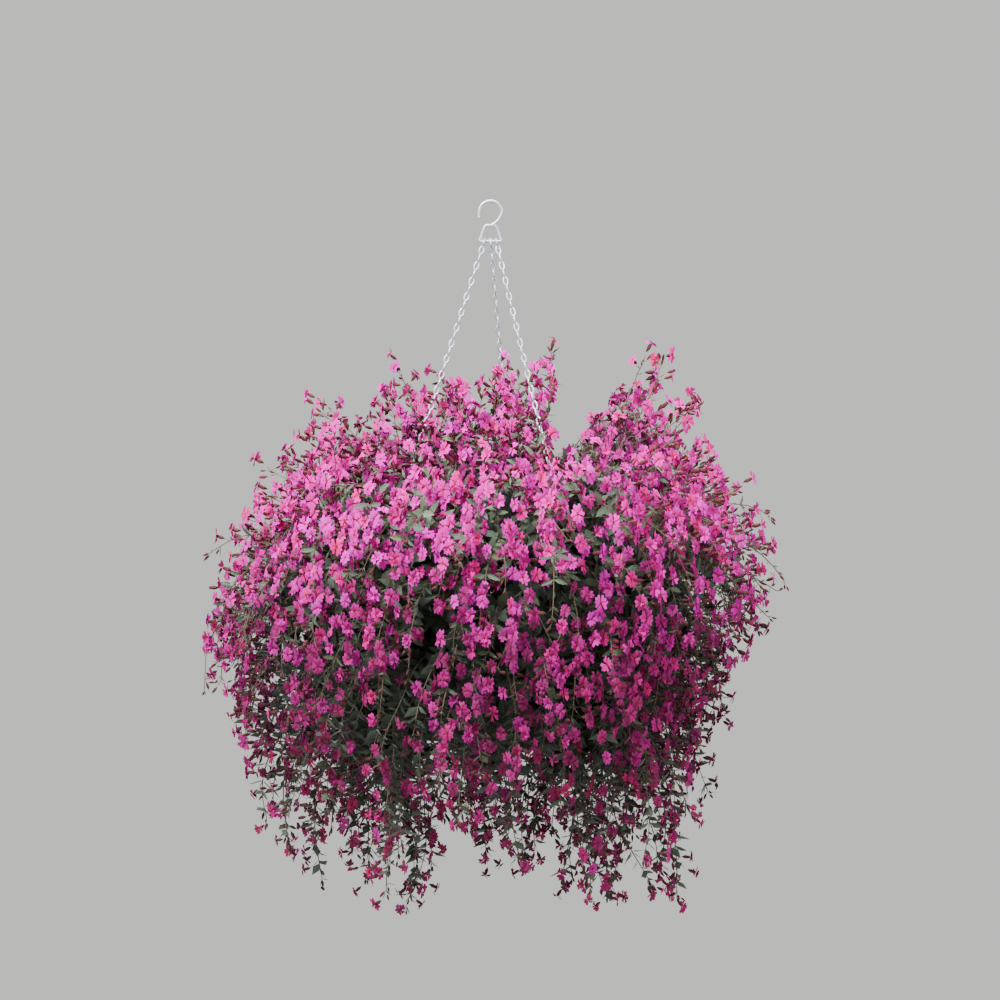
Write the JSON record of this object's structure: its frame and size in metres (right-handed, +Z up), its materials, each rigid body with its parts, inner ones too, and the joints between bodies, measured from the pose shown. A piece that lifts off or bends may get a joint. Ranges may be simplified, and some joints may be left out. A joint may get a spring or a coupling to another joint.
{
  "type": "hanging potted nodding catchfly",
  "caption": "Hanging pot of nodding catchfly: a ball of small notched carmine flowers on leafy sprays that hide the pot, on three wire chains and a hook.",
  "frame": {"origin": "the point inside the hook's crown that bears on what the object hangs from", "axes": "+Z up out of the crown, -Y towards the viewer of the picture, +X to the viewer's right"},
  "size_m": [0.7035, 0.6854, 0.859],
  "materials": {
    "pot_plastic": "dark moulded plastic, satin",
    "soil": "damp peat compost with crumbs and bark",
    "galvanised_steel": "galvanised wire, dull silver with light spangle",
    "petal": "thin matt petals, carmine pink, paler at the edge and deeper at the throat",
    "calyx": "ribbed dark brownish red calyces and buds",
    "leaf": "soft grey-green leaves with a pale rib",
    "stem": "thin brownish green stems flushed with red"
  },
  "bodies": {
    "root": {"pot": "pot_plastic", "soil": "soil", "hook": "galvanised_steel", "chain_back": "galvanised_steel", "chain_right": "galvanised_steel", "chain_left": "galvanised_steel", "spray_01": "petal", "spray_02": "petal", "spray_03": "petal", "spray_04": "petal", "spray_05": "petal", "spray_06": "petal", "spray_07": "petal", "spray_08": "petal", "spray_09": "petal", "spray_10": "petal", "spray_11": "petal", "spray_12": "petal", "spray_13": "petal", "spray_14": "petal", "spray_15": "petal", "spray_16": "petal", "spray_17": "petal", "spray_18": "petal", "spray_19": "petal", "spray_20": "petal", "spray_21": "petal", "spray_22": "petal", "spray_23": "petal", "spray_24": "petal", "spray_25": "petal", "spray_26": "petal", "spray_27": "petal", "spray_28": "petal", "spray_29": "petal", "spray_30": "petal", "spray_31": "petal", "spray_32": "petal", "spray_33": "petal", "spray_34": "petal", "spray_35": "petal"}
  },
  "joints": []
}
